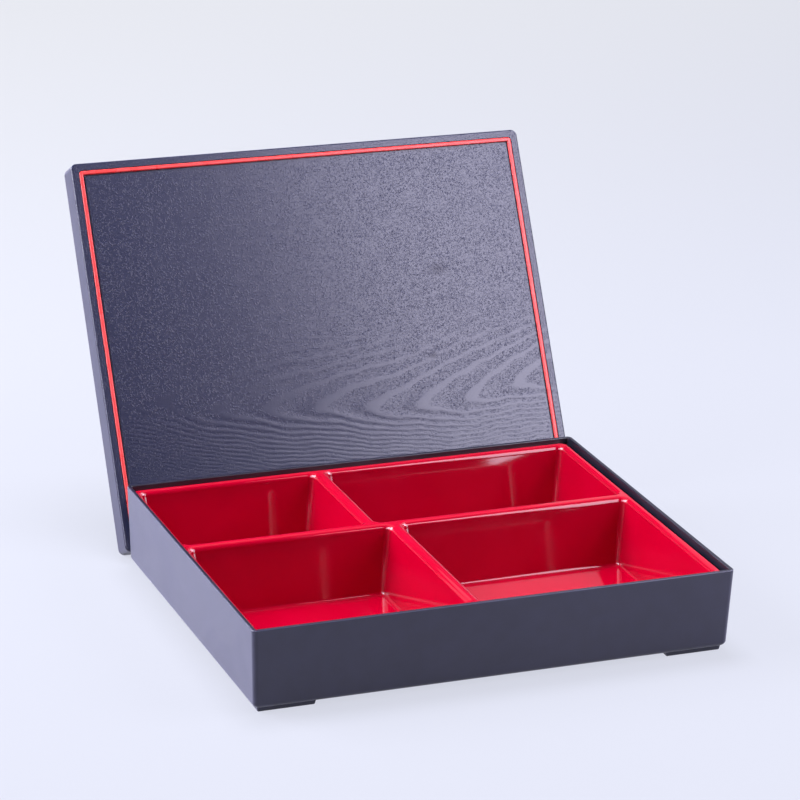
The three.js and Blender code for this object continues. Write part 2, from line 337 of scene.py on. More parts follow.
etched_skin, entry, leave = start_group("etched_skin", {"Pits per Metre": 1400.0}, ["Height", "Mottle"])
position = add_node(etched_skin, "ShaderNodeTexCoord").outputs["Object"]
fine = {"Vector": position, "Scale": entry.outputs["Pits per Metre"], "Detail": 2.0, "Roughness": 0.6}
pits = add_node(etched_skin, "ShaderNodeTexNoise", fine)
height = stretch(etched_skin, pits.outputs["Fac"], SPECK_LOW, SPECK_HIGH, 0.0, 1.0)
etched_skin.links.new(height, leave.inputs["Height"])
patch_scale = calc(etched_skin, "MULTIPLY", entry.outputs["Pits per Metre"], PATCHES_PER_PIT)
coarse = {"Vector": position, "Scale": patch_scale, "Detail": 3.0}
patches = add_node(etched_skin, "ShaderNodeTexNoise", coarse)
mottle = stretch(etched_skin, patches.outputs["Fac"], SPECK_LOW, SPECK_HIGH, 0.0, 1.0)
etched_skin.links.new(mottle, leave.inputs["Mottle"])
print("group", etched_skin.name)

# %% Handling haze group
WIPE_LOW, WIPE_HIGH = 0.35, 0.75

wiped_haze, entry, leave = start_group("wiped_haze", {"Wipes per Metre": 22.0}, ["Haze"])
position = add_node(wiped_haze, "ShaderNodeTexCoord").outputs["Object"]
swirl = {"Vector": position, "Scale": entry.outputs["Wipes per Metre"], "Detail": 5.0, "Distortion": 1.2}
wipes = add_node(wiped_haze, "ShaderNodeTexNoise", swirl)
hazy = stretch(wiped_haze, wipes.outputs["Fac"], WIPE_LOW, WIPE_HIGH, 0.0, 1.0)
wiped_haze.links.new(hazy, leave.inputs["Haze"])
print("group", wiped_haze.name)

# %% Start a material


def place_group(tree, group, **values):
    """Puts a group into a material with its own values."""
    node = tree.nodes.new("ShaderNodeGroup")
    node.node_tree = group
    for name, value in values.items():
        node.inputs[name.replace("_", " ")].default_value = value
    return node


def start_material(name):
    """A new material, its node tree and its shader."""
    material = bpy.data.materials.new(name)
    material.use_nodes = True
    return material, material.node_tree, material.node_tree.nodes["Principled BSDF"]


print("groups to place:", etched_skin.name, "and", wiped_haze.name)

# %% [markdown]
# ## Satin and polished black
#
# The box is black plastic with an etched, satin skin outside. It mirrors nothing sharply, but at a low
# angle the fine texture scatters light and takes up the pale floor, so the left side looks grey in the
# picture. A paler base colour would do that too, but would wash out the dark front. So a little sheen does
# it, and the colour stays near black all over. The skirt of the lid has less sheen. The rim and the inside of
# the box come from the other half of the mould, which is smoother, and stay dark.

# %% Satin black
SATIN_DEPTH = 0.012 * MM
SATIN_BLACKS = (0.010, 0.009, 0.034), (0.013, 0.012, 0.041)
SATIN_ROUGHNESS = 0.36, 0.42
BOX_SHEEN = 0.37
SKIRT_SHEEN = 0.16
SHEEN_ROUGHNESS = 0.5
SHEEN_TINT = (0.83, 0.82, 1.0)


def satin_finish(name, sheen):
    """Black plastic with an etched skin and some sheen."""
    material, tree, shader = start_material(name)
    skin = place_group(tree, etched_skin, Pits_per_Metre=1500.0)
    haze = place_group(tree, wiped_haze, Wipes_per_Metre=18.0)
    base = blend_colours(tree, skin.outputs["Mottle"], *SATIN_BLACKS)
    tree.links.new(base, shader.inputs["Base Color"])
    roughness = stretch(tree, haze.outputs["Haze"], 0.0, 1.0, *SATIN_ROUGHNESS)
    tree.links.new(roughness, shader.inputs["Roughness"])
    shader.inputs["Sheen Weight"].default_value = sheen
    shader.inputs["Sheen Roughness"].default_value = SHEEN_ROUGHNESS
    shader.inputs["Sheen Tint"].default_value = (*SHEEN_TINT, 1)
    bump = add_node(tree, "ShaderNodeBump", {"Height": skin.outputs["Height"], "Distance": SATIN_DEPTH})
    tree.links.new(bump.outputs["Normal"], shader.inputs["Normal"])
    print("material", name, "with sheen", sheen)
    return material


satin_black = satin_finish("satin_black", BOX_SHEEN)
skirt_black = satin_finish("skirt_black", SKIRT_SHEEN)

# %% Polished black
POLISHED_BLACKS = (0.008, 0.008, 0.016), (0.011, 0.011, 0.021)
POLISHED_ROUGHNESS = 0.30, 0.38

polished_black, tree, shader = start_material("polished_black")
haze = place_group(tree, wiped_haze, Wipes_per_Metre=25.0)
base = blend_colours(tree, haze.outputs["Haze"], *POLISHED_BLACKS)
tree.links.new(base, shader.inputs["Base Color"])
roughness = stretch(tree, haze.outputs["Haze"], 0.0, 1.0, *POLISHED_ROUGHNESS)
tree.links.new(roughness, shader.inputs["Roughness"])
print("material", polished_black.name)

# %% [markdown]
# ## Gloss red
#
# The tray comes out of a polished mould, so it mirrors its surroundings almost sharply. Real polished plastic
# is never quite flat: it has a slow ripple where it shrank in cooling, and a little haze from wiping. Both
# could be left out, but a perfect mirror would look made of glass.

# %% Gloss red
TRAY_REDS = (0.31, 0.0, 0.012), (0.33, 0.0, 0.014)
GLOSS_ROUGHNESS = 0.05, 0.10
RIPPLE_DEPTH = 0.03 * MM
RIPPLES_PER_METRE = 45.0

gloss_red, tree, shader = start_material("gloss_red")
haze = place_group(tree, wiped_haze, Wipes_per_Metre=30.0)
base = blend_colours(tree, haze.outputs["Haze"], *TRAY_REDS)
tree.links.new(base, shader.inputs["Base Color"])
roughness = stretch(tree, haze.outputs["Haze"], 0.0, 1.0, *GLOSS_ROUGHNESS)
tree.links.new(roughness, shader.inputs["Roughness"])
position = add_node(tree, "ShaderNodeTexCoord").outputs["Object"]
slow = {"Vector": position, "Scale": RIPPLES_PER_METRE, "Detail": 1.0}
ripple = add_node(tree, "ShaderNodeTexNoise", slow)
bump = add_node(tree, "ShaderNodeBump", {"Height": ripple.outputs["Fac"], "Distance": RIPPLE_DEPTH})
tree.links.new(bump.outputs["Normal"], shader.inputs["Normal"])
print("material", gloss_red.name)

# %% [markdown]
# ## Rings and loft
#
# All four pieces are the same kind of form: a profile carried round a rounded rectangle. A cube with bevel
# and solidify modifiers comes close, but has one draft and one radius everywhere. So one function gives a
# rounded rectangle at a height, one gives an arc in the profile, and one puts a skin over a row of such
# rings. Each corner has as many points on every ring, which keeps the faces in neat rows. A last one closes
# a flat face round its holes.

# %% Rings and loft
CORNER_STEPS = 14
ROUND_STEPS = 8


def arc(inset, height, radius, start, end, steps=ROUND_STEPS):
    """Points (inset, height) of an arc about a centre, in degrees."""
    angles = [math.radians(start + (end - start) * step / steps) for step in range(steps + 1)]
    return [(inset + radius * math.cos(angle), height + radius * math.sin(angle)) for angle in angles]


def rounded_ring(plan, inset, height, radius):
    """A rounded rectangle inside a plan (x0, x1, y0, y1), anticlockwise from above."""
    x0, x1, y0, y1 = plan
    reach_x = (x1 - x0) / 2 - inset - radius
    reach_y = (y1 - y0) / 2 - inset - radius
    middle = Vector(((x0 + x1) / 2, (y0 + y1) / 2, height))
    ring = []
    for quarter, (sign_x, sign_y) in enumerate([(1, 1), (-1, 1), (-1, -1), (1, -1)]):
        for step in range(CORNER_STEPS + 1):
            angle = math.pi / 2 * (quarter + step / CORNER_STEPS)
            corner = Vector((sign_x * reach_x, sign_y * reach_y, 0))
            ring.append(middle + corner + radius * Vector((math.cos(angle), math.sin(angle), 0)))
    return ring


def loft(build, rings, endless=False):
    """Adds a skin through the rings and returns its rows of vertices."""
    rows = [[build.verts.new(point) for point in ring] for ring in rings]
    pairs = list(zip(rows, rows[1:]))
    if endless:
        pairs.append((rows[-1], rows[0]))
    for low, high in pairs:
        for k in range(len(low)):
            after = (k + 1) % len(low)
            build.faces.new((low[k], low[after], high[after], high[k]))
    return rows


def close_flat(build, outline, holes=()):
    """Closes a flat outline, leaving holes open."""
    edges = []
    for ring in (outline, *holes):
        for k in range(len(ring)):
            edges.append(build.edges.get((ring[k], ring[(k + 1) % len(ring)])))
    bmesh.ops.triangle_fill(build, edges=edges, use_beauty=True, use_dissolve=False)


print("rings of", 4 * (CORNER_STEPS + 1), "points")

# %% [markdown]
# ## From mesh to piece
#
# A finished mesh becomes a piece that rides on its body and stands in for its CAD solid. Smooth shading
# alone would bend the light near every round, because a long flat wall and a small round share their points.
# Weighted normals give the flat face the say there, so walls stay flat and rounds stay round.

# %% From mesh to piece
SHARP_ANGLE = math.radians(40)
FLAT_FACE_SAY = 100


def finish_piece(name, build, material, body, node, place=Matrix.Identity(4)):
    """Makes the mesh an object, shades it, and ties it to its body and CAD node."""
    bmesh.ops.recalc_face_normals(build, faces=build.faces[:])
    mesh = bpy.data.meshes.new(name)
    build.to_mesh(mesh)
    build.free()
    mesh.shade_smooth()
    mesh.set_sharp_from_angle(angle=SHARP_ANGLE)
    mesh.materials.append(material)
    piece = bpy.data.objects.new(name, mesh)
    piece.matrix_world = place
    bpy.context.scene.collection.objects.link(piece)
    flat_first = piece.modifiers.new("flat_first", "WEIGHTED_NORMAL")
    flat_first.weight = FLAT_FACE_SAY
    flat_first.keep_sharp = True
    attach(piece, body)
    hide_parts(node)
    print(f"{name}: {len(mesh.polygons)} faces")
    return piece


print("faces that meet at over", round(math.degrees(SHARP_ANGLE)), "degrees keep a sharp edge")

# %% [markdown]
# ## Outer box
#
# The box is a drafted shell with thin walls and a rounded bottom edge. Its profile starts under the floor,
# runs up outside, over the rim and down to the inside floor. The four feet are moulded with it. They are
# angle-shaped pads, joined on by a boolean, so that box and feet are one closed skin.

# %% Box sizes
BOX_WALL = 2.2 * MM
BOX_FLOOR = 2.0 * MM
BOX_SLOPE = math.tan(math.radians(2.1))
BOX_CORNER = 2.8 * MM
BOX_INSIDE_CORNER = 1.0 * MM
BOX_BOTTOM_RADIUS = 3.0 * MM
BOX_INSIDE_FILLET = 2.0 * MM
BOX_RIM_ROUND = 0.6 * MM
FOOT_HEIGHT = 2.7 * MM
FOOT_INSET = 4.2 * MM
FOOT_LONG = 32 * MM
FOOT_SHORT = 22 * MM
FOOT_WIDTH = 7 * MM
FOOT_TAPER = 0.5 * MM
FOOT_ROOT = 1.0 * MM
FOOT_EDGE_ROUND = 0.35 * MM
FOOT_EDGE_STEPS = 3

RIM_ROUND_LEAN = BOX_RIM_ROUND * BOX_SLOPE
box_plan = (
    box_low.x - RIM_ROUND_LEAN,
    box_high.x + RIM_ROUND_LEAN,
    box_low.y - RIM_ROUND_LEAN,
    box_high.y + RIM_ROUND_LEAN,
)
box_middle = Vector(((box_plan[0] + box_plan[1]) / 2, (box_plan[2] + box_plan[3]) / 2, 0))
box_rim = box_high.z
print(f"box {(box_plan[1] - box_plan[0]) / MM:.1f} x {(box_plan[3] - box_plan[2]) / MM:.1f} mm")

# %% Box shell


def box_outside(height):
    """Inset of the outer wall from the rim's outline."""
    return (box_rim - height) * BOX_SLOPE


def box_inside(height):
    """Inset of the inner wall from the rim's outline."""
    return BOX_WALL + box_outside(height)


def box_shell():
    """The box without its feet, as a closed mesh."""
    bottom = FOOT_HEIGHT + BOX_BOTTOM_RADIUS
    rim = box_rim - BOX_RIM_ROUND
    fillet = FOOT_HEIGHT + BOX_FLOOR + BOX_INSIDE_FILLET
    outside = arc(box_outside(bottom) + BOX_BOTTOM_RADIUS, bottom, BOX_BOTTOM_RADIUS, 270, 180)
    outside += arc(box_outside(rim) + BOX_RIM_ROUND, rim, BOX_RIM_ROUND, 180, 90)
    inside = arc(box_inside(rim) - BOX_RIM_ROUND, rim, BOX_RIM_ROUND, 90, 0)
    inside += arc(box_inside(fillet) + BOX_INSIDE_FILLET, fillet, BOX_INSIDE_FILLET, 180, 270)
    rings = [rounded_ring(box_plan, inset, height, BOX_CORNER) for inset, height in outside]
    rings += [rounded_ring(box_plan, inset, height, BOX_INSIDE_CORNER) for inset, height in inside]
    build = bmesh.new()
    rows = loft(build, rings)
    build.faces.new(rows[0])
    build.faces.new(rows[-1])
    bmesh.ops.recalc_face_normals(build, faces=build.faces[:])
    return build


box_walls = box_shell()
print("box shell:", len(box_walls.faces), "faces")

# %% Box feet


def foot_ring(sign_x, sign_y, height, draw):
    """Outline of an angle-shaped foot, drawn in by an amount."""
    half_x = (box_plan[1] - box_plan[0]) / 2
    half_y = (box_plan[3] - box_plan[2]) / 2
    middle = box_middle + Vector((0, 0, height))
    outer = Vector((half_x - FOOT_INSET - draw, half_y - FOOT_INSET - draw))
    inner = Vector((half_x - FOOT_INSET - FOOT_WIDTH + draw, half_y - FOOT_INSET - FOOT_WIDTH + draw))
    end = Vector((half_x - FOOT_INSET - FOOT_LONG + draw, half_y - FOOT_INSET - FOOT_SHORT + draw))
    angle = [
        (outer.x, outer.y), (end.x, outer.y), (end.x, inner.y),
        (inner.x, inner.y), (inner.x, end.y), (outer.x, end.y),
    ]
    return [middle + Vector((sign_x * x, sign_y * y, 0)) for x, y in angle]


def box_feet():
    """The four feet, with rounded edges where they show."""
    build = bmesh.new()
    for sign_x in (-1, 1):
        for sign_y in (-1, 1):
            levels = [(0, FOOT_TAPER), (FOOT_HEIGHT, 0), (FOOT_HEIGHT + FOOT_ROOT, 0)]
            rows = loft(build, [foot_ring(sign_x, sign_y, height, draw) for height, draw in levels])
            build.faces.new(rows[0])
            build.faces.new(rows[-1])
    bmesh.ops.recalc_face_normals(build, faces=build.faces[:])
    hidden = FOOT_HEIGHT + FOOT_ROOT / 2
    edges = [edge for edge in build.edges if min(vertex.co.z for vertex in edge.verts) < hidden]
    shown = [edge for edge in edges if edge.calc_face_angle(0) > SHARP_ANGLE]
    rounding = {"offset": FOOT_EDGE_ROUND, "segments": FOOT_EDGE_STEPS, "clamp_overlap": True}
    bmesh.ops.bevel(build, geom=shown, affect="EDGES", **rounding)
    return build


feet = box_feet()
print("feet:", len(feet.faces), "faces")

# %% Join the box


def scratch_object(name, build):
    """An object for the boolean, deleted after it."""
    mesh = bpy.data.meshes.new(name)
    build.to_mesh(mesh)
    build.free()
    item = bpy.data.objects.new(name, mesh)
    bpy.context.scene.collection.objects.link(item)
    return item


def join_solids(first, second):
    """The union of two closed meshes, as a new bmesh."""
    whole = scratch_object("whole", first)
    added = scratch_object("added", second)
    union = whole.modifiers.new("union", "BOOLEAN")
    union.operation = "UNION"
    union.solver = "EXACT"
    union.object = added
    shown = whole.evaluated_get(bpy.context.evaluated_depsgraph_get())
    joined = bmesh.new()
    joined.from_mesh(shown.to_mesh())
    shown.to_mesh_clear()
    for item in (whole, added):
        mesh = item.data
        bpy.data.objects.remove(item)
        bpy.data.meshes.remove(mesh)
    return joined


box_build = join_solids(box_walls, feet)
box_moulding = finish_piece("box_moulding", box_build, satin_black, "box", "outer_box")

# %% Polish the rim and the inside
LOOKS_UP = 0.9


def is_polished(face):
    """True on the rim and inside the box: faces that look up, or towards the middle."""
    if face.center.z < FOOT_HEIGHT + BOX_FLOOR / 2:
        return False
    outward = face.center - box_middle
    return face.normal.z > LOOKS_UP or outward.xy.dot(face.normal.xy) < 0


box_moulding.data.materials.append(polished_black)
for face in box_moulding.data.polygons:
    face.material_index = int(is_polished(face))
print("polished faces:", sum(face.material_index for face in box_moulding.data.polygons))

# %% [markdown]
# ## Food tray
#
# The tray is the hardest moulding. Its flat top runs between four drafted wells with a soft round lip, a
# tight floor fillet and walls of one thickness, so the dividers are hollow underneath. Four wells could be
# cut from a block by booleans, but their seams would show in the gloss. So it is drawn as an upper skin and a
# lower skin that meet at the outer edge: each well is a loft down into the top, and the two flat tops are
# closed round the four holes.

# %% Tray sizes
TRAY_WALL = 1.8 * MM
TRAY_CORNER = 4.0 * MM
TRAY_EDGE_ROUND = 0.5 * MM
TRAY_LAND = 0.6 * MM
DIVIDER_CROWN = 1.2 * MM
WELL_LIP = 3.2 * MM
WELL_SIDE_RUN = 5.6 * MM
WELL_END_RUN = 8.1 * MM
WELL_CORNER = 3.5 * MM
WELL_FLOOR_CORNER = 2.6 * MM
WELL_FLOOR_FILLET = 2.0 * MM
REAR_LEFT_WELL = 102.3 * MM
FRONT_LEFT_WELL = 114.5 * MM
REAR_WELL_DEPTH = 81.1 * MM

tray_plan = (tray_low.x, tray_high.x, tray_low.y, tray_high.y)
tray_top = tray_high.z
well_floor = tray_low.z + TRAY_WALL
lip_foot = tray_top - WELL_LIP
print(f"wells are {(tray_top - well_floor) / MM:.1f} mm deep")

# %% Well outlines


def well_plans():
    """Outlines of the four wells under the lip: rear left, rear right, front left, front right."""
    border = TRAY_LAND + WELL_LIP
    divider = DIVIDER_CROWN + 2 * WELL_LIP
    left, right = tray_plan[0] + border, tray_plan[1] - border
    front, back = tray_plan[2] + border, tray_plan[3] - border
    cross_back = back - REAR_WELL_DEPTH
    cross_front = cross_back - divider
    return [
        (left, left + REAR_LEFT_WELL, cross_back, back),
        (left + REAR_LEFT_WELL + divider, right, cross_back, back),
        (left, left + FRONT_LEFT_WELL, front, cross_front),
        (left + FRONT_LEFT_WELL + divider, right, front, cross_front),
    ]


def well_ring(plan, inset, height):
    """A well's outline at a height: drawn in evenly from lip to floor, then moved in by the inset."""
    share = max(0.0, (lip_foot - height) / (lip_foot - well_floor))
    side, end = WELL_SIDE_RUN * share, WELL_END_RUN * share
    level = (plan[0] + side, plan[1] - side, plan[2] + end, plan[3] - end)
    corner = WELL_CORNER + (WELL_FLOOR_CORNER - WELL_CORNER) * share
    return rounded_ring(level, inset, height, corner - min(inset, 0.0))


for left, right, front, back in well_plans():
    print(f"well of {(right - left) / MM:.1f} x {(back - front) / MM:.1f} mm")

# %% Tray skins
LIP_STEPS = 14


def tray_build():
    """The upper and lower skins of the tray, joined at its outer edge."""
    build = bmesh.new()
    top_holes, under_holes = [], []
    for plan in well_plans():
        fillet = well_floor + WELL_FLOOR_FILLET
        hollow = arc(WELL_FLOOR_FILLET, fillet, WELL_FLOOR_FILLET, 270, 180)
        hollow += arc(-WELL_LIP, lip_foot, WELL_LIP, 0, 90, LIP_STEPS)
        rows = loft(build, [well_ring(plan, inset, height) for inset, height in hollow])
        build.faces.new(rows[0])
        top_holes.append(rows[-1])
        outside = arc(WELL_FLOOR_FILLET, fillet, WELL_FLOOR_FILLET + TRAY_WALL, 270, 180)
        outside.append((-TRAY_WALL, tray_top - TRAY_WALL))
        rows = loft(build, [well_ring(plan, inset, height) for inset, height in outside])
        build.faces.new(rows[0])
        under_holes.append(rows[-1])
    edge = [(0.0, tray_top - TRAY_WALL)]
    edge += arc(TRAY_EDGE_ROUND, tray_top - TRAY_EDGE_ROUND, TRAY_EDGE_ROUND, 180, 90)
    rings = [rounded_ring(tray_plan, inset, height, TRAY_CORNER - inset) for inset, height in edge]
    rows = loft(build, rings)
    close_flat(build, rows[-1], top_holes)
    close_flat(build, rows[0], under_holes)
    return build


tray_moulding = finish_piece("tray_moulding", tray_build(), gloss_red, "tray", "food_tray")
tray_only.objects.link(tray_moulding)

# %% [markdown]
# ## Grain of the lid
#
# The face of the lid is embossed like a flat-sawn board. Such a cut shows the growth rings as arches that
# point along the board, one behind the other. Over the tips the arms run up at a slant and then level out.
# Under them they turn into long, close lines. A wave texture could give straight lines only. So a ring number
# is worked out for each point: how far it is along the board, less what the arms take up beside the line of
# the tips. An arm leaves its tip steeply and bends over further out. The line of the tips is bowed, and a few
# slow waves bend it too. The same formula raises the ridges in the mesh and clears the pores from the late
# wood in the material. Its lengths are in millimetres from the middle of the face.

# %% Growth rings
RING_STEP = 31.0
TIP_PLACE = 21.0
TIPS_LEVEL = -46.0
TIP_ROUND = 3.0
UPPER_ARM = {"near": 1.0, "far": 6.0, "bend": 40.0}
LOWER_ARM = {"near": 2.0, "far": 14.0, "bend": 20.0}
BOW_MIDDLE = 40.0
BOW_LENGTH = 1300.0
RING_WAVES = [
    (1.3, 0.047, 0.031, 0.4),
    (0.7, 0.113, -0.071, 1.3),
    (0.35, 0.290, 0.190, 2.2),
    (0.15, 0.610, -0.430, 0.9),
]


def arm_length(side, near, far, bend):
    """What an arm takes up at a distance from the line of the tips."""
    at_tip = math.hypot(side, TIP_ROUND) - TIP_ROUND
    further_out = math.hypot(side, bend) - bend
    return near * at_tip + far * further_out


def growth_rings(along, across):
    """Ring number at a point of the face."""
    waves = sum(size * math.sin(along * fx + across * fy + start) for size, fx, fy, start in RING_WAVES)
    bow = (along - BOW_MIDDLE) ** 2 / BOW_LENGTH
    beside = across - TIPS_LEVEL - bow + waves
    over, under = max(beside, 0.0), max(-beside, 0.0)
    arms = arm_length(over, **UPPER_ARM) + arm_length(under, **LOWER_ARM)
    return (along - TIP_PLACE - arms) / RING_STEP


foot_lines = growth_rings(0, TIPS_LEVEL) - growth_rings(0, -lid_length / 2 / MM)
print("close lines under the tips:", round(foot_lines, 1))

# %% Where the rings are clear
UP_FROM, UP_TO, UP_LOSS = 10.0, 55.0, 0.85
LEFT_FROM, LEFT_TO, LEFT_LOSS = 20.0, -80.0, 0.7


def smooth_step(value, low, high):
    """Runs from 0 to 1 between two values, level at both ends."""
    share = min(1.0, max(0.0, (value - low) / (high - low)))
    return share * share * (3 - 2 * share)


def ring_strength(along, across):
    """Rings are clear at the tips and under them. Over the tips they fade upwards and to the left."""
    over = max(across - TIPS_LEVEL, 0.0)
    left = smooth_step(along, LEFT_FROM, LEFT_TO) * smooth_step(over, 0.0, UP_FROM)
    return (1 - UP_LOSS * smooth_step(over, UP_FROM, UP_TO)) * (1 - LEFT_LOSS * left)


print("strength high on the left:", round(ring_strength(-100, 80), 2))

# %% [markdown]
# ## Embossed black
#
# The lid is the same black plastic as the box, with the grain on it. The early wood of each ring is full of
# fine pores and low flecks, about a millimetre long. Half of the shine is a thin polish on the high spots,
# given as a coat. The pores lie under it and look dark where the lid mirrors a lamp. The flecks stand up and
# catch light where it doesn't. So no colour is needed for either. Among the close lines at the foot there
# are fewer flecks. The late wood is smooth and shows as plain bands, clearest round the tips of the arches
# and fainter higher up. Two small knots interrupt it. The face alone has this finish, so it isn't a group.

# %% Rings in the material
BAND_FROM, BAND_TO = 0.35, 0.95

embossed_black, tree, shader = start_material("embossed_black")
position = add_node(tree, "ShaderNodeTexCoord").outputs["Object"]
enlarging = {0: position, "Scale": 1 / MM}
in_mm = add_node(tree, "ShaderNodeVectorMath", enlarging, operation="SCALE").outputs["Vector"]
axes = add_node(tree, "ShaderNodeSeparateXYZ", {0: in_mm})
along, across = axes.outputs["X"], axes.outputs["Y"]


def rounded(side, tip):
    """Distance from a line, rounded off near it."""
    round_tip = calc(tree, "SQRT", calc(tree, "MULTIPLY_ADD", side, side, tip * tip))
    return calc(tree, "SUBTRACT", round_tip, tip)


def arm(side, near, far, bend):
    """The same as the arm length above, in nodes."""
    further_out = calc(tree, "MULTIPLY", rounded(side, bend), far)
    return calc(tree, "MULTIPLY_ADD", rounded(side, TIP_ROUND), near, further_out)


from_middle = calc(tree, "SUBTRACT", along, BOW_MIDDLE)
bow = calc(tree, "DIVIDE", calc(tree, "POWER", from_middle, 2.0), BOW_LENGTH)
beside = calc(tree, "SUBTRACT", calc(tree, "SUBTRACT", across, TIPS_LEVEL), bow)
for size, fx, fy, start in RING_WAVES:
    angle = calc(tree, "MULTIPLY_ADD", along, fx, calc(tree, "MULTIPLY_ADD", across, fy, start))
    beside = calc(tree, "MULTIPLY_ADD", calc(tree, "SINE", angle), size, beside)
over = calc(tree, "MAXIMUM", beside, 0.0)
under = calc(tree, "MAXIMUM", calc(tree, "MULTIPLY", beside, -1.0), 0.0)
arms = calc(tree, "ADD", arm(over, **UPPER_ARM), arm(under, **LOWER_ARM))
ring_place = calc(tree, "SUBTRACT", calc(tree, "SUBTRACT", along, TIP_PLACE), arms)
swing = calc(tree, "COSINE", calc(tree, "MULTIPLY", ring_place, 2 * math.pi / RING_STEP))
band = stretch(tree, swing, BAND_FROM, BAND_TO, 0.0, 1.0)
print("rings in the material, with", len(tree.nodes), "nodes so far")

# %% Where the bands are clear
left_loss = stretch(tree, calc(tree, "MULTIPLY", along, -1.0), -LEFT_FROM, -LEFT_TO, 0.0, LEFT_LOSS)
left_loss = calc(tree, "MULTIPLY", left_loss, stretch(tree, over, 0.0, UP_FROM, 0.0, 1.0))
kept_left = calc(tree, "SUBTRACT", 1.0, left_loss)
kept_up = stretch(tree, over, UP_FROM, UP_TO, 1.0, 1 - UP_LOSS)
strength = calc(tree, "MULTIPLY", kept_up, kept_left)
late_wood = calc(tree, "MULTIPLY", band, strength)
print("bands fade by", UP_LOSS, "upwards and", LEFT_LOSS, "to the left")

# %% Pores and flecks
PORES_PER_MM = 1.3
PORE_LOW, PORE_HIGH = 0.44, 0.58
FLECKS_PER_MM = 0.95
FLECK_LOW, FLECK_HIGH = 0.53, 0.66
LINES_FULL = 12.0
FLECKS_IN_LINES = 0.55
DRIFTS_PER_MM = 0.09
DRIFT_LOW, DRIFT_HIGH, DRIFT_CLEARS = 0.5, 0.7, 0.35


def speckle(per_mm, low, high):
    """Specks of a noise that lie over a threshold, kept to the early wood."""
    grain = add_node(tree, "ShaderNodeTexNoise", {"Vector": in_mm, "Scale": per_mm, "Detail": 1.0})
    specks = stretch(tree, grain.outputs["Fac"], low, high, 0.0, 1.0)
    return calc(tree, "MULTIPLY", specks, crowding)


drift = add_node(tree, "ShaderNodeTexNoise", {"Vector": in_mm, "Scale": DRIFTS_PER_MM, "Detail": 2.0})
thinned = stretch(tree, drift.outputs["Fac"], DRIFT_LOW, DRIFT_HIGH, 0.0, DRIFT_CLEARS)
clear = calc(tree, "ADD", late_wood, thinned)
crowding = calc(tree, "SUBTRACT", 1.0, calc(tree, "MINIMUM", clear, 1.0))
pores = speckle(PORES_PER_MM, PORE_LOW, PORE_HIGH)
flecks = speckle(FLECKS_PER_MM, FLECK_LOW, FLECK_HIGH)
flecks = calc(tree, "MULTIPLY", flecks, stretch(tree, under, 0.0, LINES_FULL, 1.0, FLECKS_IN_LINES))
print("pores:", PORES_PER_MM, "and flecks:", FLECKS_PER_MM, "to the millimetre")

# %% Knots
KNOTS = [(74.5, 32.6, 5.5, 0.8), (63.2, -18.3, 2.8, 1.0)]
KNOT_STRETCH = 0.6

squeezing = {0: in_mm, 1: (KNOT_STRETCH, 1.0, 1.0)}
squeezed = add_node(tree, "ShaderNodeVectorMath", squeezing, operation="MULTIPLY").outputs["Vector"]
knotty = 0.0
for x, y, size, blackness in KNOTS:
    ends = {0: squeezed, 1: (x * KNOT_STRETCH, y, 0.0)}
    offset = add_node(tree, "ShaderNodeVectorMath", ends, operation="DISTANCE").outputs["Value"]
    knotty = calc(tree, "MAXIMUM", stretch(tree, offset, 0.0, size, blackness, 0.0), knotty)
print(len(KNOTS), "knots")

# %% Finish of the lid
FLECK_RISE = 0.085 * MM
LID_BLACK = (0.0150, 0.0166, 0.0385)
KNOT_BLACK = (0.009, 0.009, 0.024)
WOOD_ROUGHNESS = 0.22
FLECK_ROUGHNESS = 0.28
UNDER_POLISH = 0.32
FULL_POLISH = 0.55
PORE_POLISH = 0.05

bump = add_node(tree, "ShaderNodeBump", {"Height": flecks, "Distance": FLECK_RISE})
tree.links.new(bump.outputs["Normal"], shader.inputs["Normal"])
tree.links.new(blend_colours(tree, knotty, LID_BLACK, KNOT_BLACK), shader.inputs["Base Color"])
roughness = stretch(tree, flecks, 0.0, 1.0, WOOD_ROUGHNESS, FLECK_ROUGHNESS)
tree.links.new(roughness, shader.inputs["Roughness"])
shader.inputs["Specular IOR Level"].default_value = UNDER_POLISH
polish = stretch(tree, pores, 0.0, 1.0, FULL_POLISH, PORE_POLISH)
polish = calc(tree, "MULTIPLY", polish, calc(tree, "SUBTRACT", 1.0, knotty))
tree.links.new(polish, shader.inputs["Coat Weight"])
shader.inputs["Coat Roughness"].default_value = WOOD_ROUGHNESS
print("material", embossed_black.name)

# %% [markdown]
# ## Lid
#
# The lid is a cap with a low skirt. It is drawn lying flat, face up, and then stood up by one matrix, so
# that X and Y on it are also the directions of the grain. Its profile runs from the ceiling down inside the
# skirt, round the rim, up outside, over the border and down into the groove for the line. The ridges of the
# grain could be a bump in the material, but then they wouldn't be in the mesh. So the panel inside the line
# is a fine grid, and its points are raised by the growth rings, fading out at its edge.

# %% Lid sizes
LID_WALL = 2.2 * MM
LID_TOP = 2.4 * MM
LID_CORNER = 3.6 * MM
LID_INSIDE_CORNER = 1.4 * MM
LID_EDGE_ROUND = 0.9 * MM
LID_RIM_ROUND = 0.5 * MM
LID_INSIDE_FILLET = 1.5 * MM
LID_PANEL_SINK = 0.4 * MM
LINE_INSET = 4.5 * MM
LINE_WIDTH = 2.4 * MM
LINE_PROUD = 0.25 * MM
LINE_ROUND = 0.7 * MM
LINE_CORNER = 1.9 * MM
LINE_INSIDE_CORNER = 0.5 * MM
LINE_SEAT_GAP = 0.3 * MM
LINE_SHADOW_GAP = 1.0 * MM
GROOVE_DEPTH = 1.3 * MM

